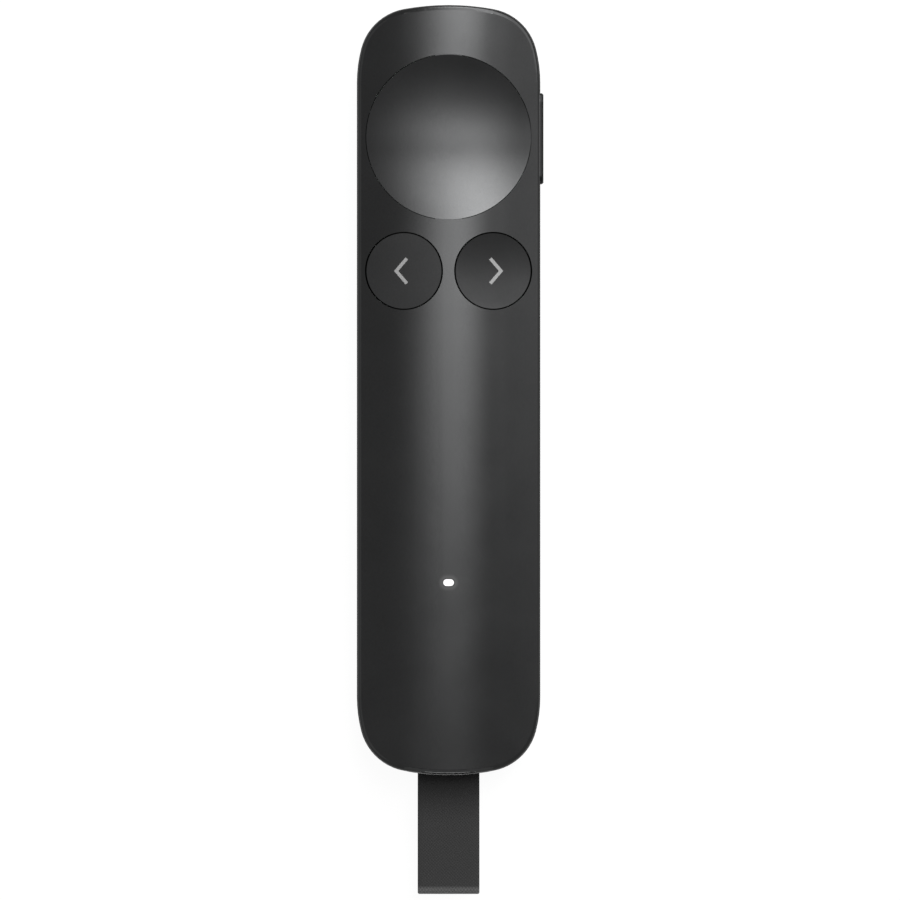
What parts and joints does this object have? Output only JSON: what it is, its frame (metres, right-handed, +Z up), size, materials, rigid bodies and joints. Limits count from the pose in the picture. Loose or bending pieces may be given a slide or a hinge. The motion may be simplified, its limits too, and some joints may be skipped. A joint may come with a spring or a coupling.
{
  "type": "wireless presentation clicker",
  "caption": "Slim handheld wireless presentation clicker with a dished pointer key, round back and next keys, a side key, a status light and a receiver on a webbing pull tab.",
  "frame": {"origin": "middle of the flat back face that the clicker rests on", "axes": "+Z up out of the key face, +Y along the length to the head with the dished key, +X to the side key"},
  "size_m": [0.0317, 0.1512, 0.012],
  "materials": {
    "shell": "fine bead-blasted anodised graphite",
    "base_shell": "fine spark-eroded moulded texture",
    "key": "soft satin, same graphite as the shell",
    "inner_plastic": "plain moulded",
    "board": "solder mask",
    "chip": "moulded epoxy",
    "metal": "plain stamped",
    "contact": "gold plated",
    "cell": "pouch foil",
    "foam": "adhesive foam",
    "lead": "silicone covered",
    "light": "frosted, lit from below",
    "lamp": "plain",
    "webbing": "fine flat nylon weave"
  },
  "bodies": {
    "housing": {"bottom_cover": "base_shell", "top_cover": "shell", "receiver_dock": "inner_plastic", "inner_frame": "inner_plastic", "circuit_board": "board", "battery": "cell", "battery_pad": "foam", "battery_leads": "lead", "battery_connector": "inner_plastic", "radio_shield": "metal", "processor_chip": "chip", "charger_chip": "chip", "motion_sensor": "chip", "antenna": "lamp", "status_led": "lamp", "charge_port": "metal", "charge_port_tongue": "inner_plastic", "frame_screws": "metal", "pointer_switch": "inner_plastic", "back_switch": "inner_plastic", "next_switch": "inner_plastic", "side_switch": "inner_plastic", "light_pipe": "light"},
    "pointer": {"pointer_dish": "key", "pointer_plunger": "inner_plastic"},
    "back_key": {"back_button": "key", "back_plunger": "inner_plastic"},
    "next_key": {"next_button": "key", "next_plunger": "inner_plastic"},
    "side_key": {"side_button": "key", "side_plunger": "inner_plastic"},
    "receiver": {"receiver_cap": "inner_plastic", "receiver_plug": "metal", "receiver_tongue": "inner_plastic", "receiver_contacts": "contact", "strap_pin": "metal", "pull_tab": "webbing"}
  },
  "joints": [
    {"name": "pointer_press", "type": "slide", "parent": "housing", "child": "pointer", "axis": [0, 0, -1], "range_m": [0, 0.0003], "stiffness_N_per_m": 2000, "springref_m": -0.0003},
    {"name": "back_press", "type": "slide", "parent": "housing", "child": "back_key", "axis": [0, 0, -1], "range_m": [0, 0.0003], "stiffness_N_per_m": 2000, "springref_m": -0.0003},
    {"name": "next_press", "type": "slide", "parent": "housing", "child": "next_key", "axis": [0, 0, -1], "range_m": [0, 0.0003], "stiffness_N_per_m": 2000, "springref_m": -0.0003},
    {"name": "side_press", "type": "slide", "parent": "housing", "child": "side_key", "axis": [-1, 0, 0], "range_m": [0, 0.0003], "stiffness_N_per_m": 2000, "springref_m": -0.0003},
    {"name": "receiver_pull", "type": "slide", "parent": "housing", "child": "receiver", "axis": [0, -1, 0], "range_m": [0, 0.024]}
  ]
}
